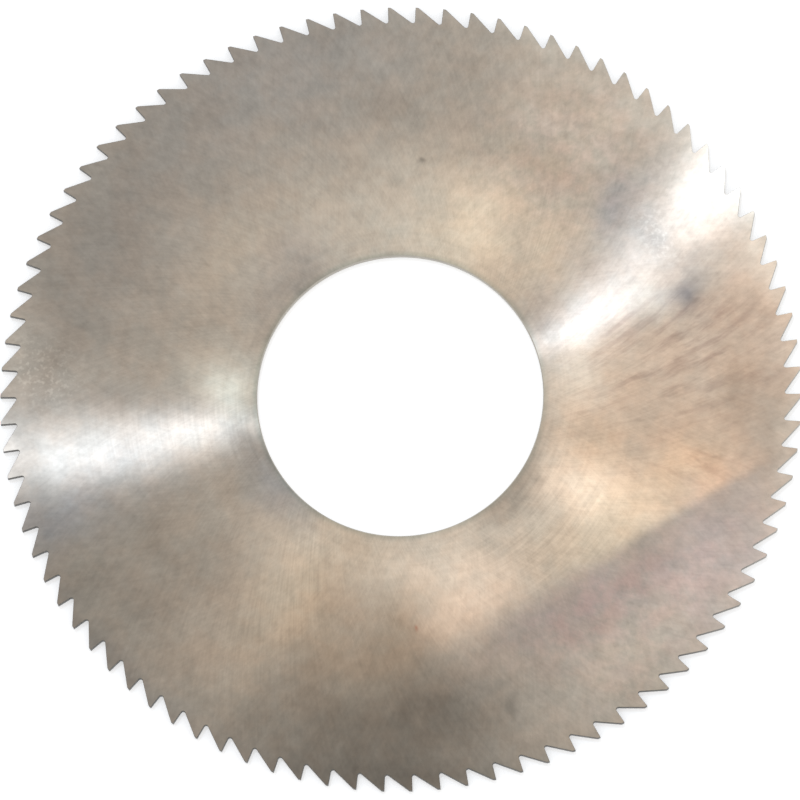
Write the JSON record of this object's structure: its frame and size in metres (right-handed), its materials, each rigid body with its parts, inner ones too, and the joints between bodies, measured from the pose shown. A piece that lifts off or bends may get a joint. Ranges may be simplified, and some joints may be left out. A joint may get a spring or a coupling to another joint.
{
  "type": "slitting saw",
  "caption": "Thin flat circular slitting saw blade with fine saw teeth round the rim and a plain round arbor bore.",
  "frame": {"origin": "centre of the bore, in the plane of the lower side face", "axes": "+Z along the bore axis, out of the upper side face; +X through a tooth tip; the teeth point anticlockwise seen from +Z"},
  "size_m": [0.0444, 0.0444, 0.0004],
  "materials": {
    "ground_steel": "satin ground tool steel with a faint warm tint and fine grinding lines"
  },
  "bodies": {
    "root": {"saw_blade": "ground_steel"}
  },
  "joints": []
}
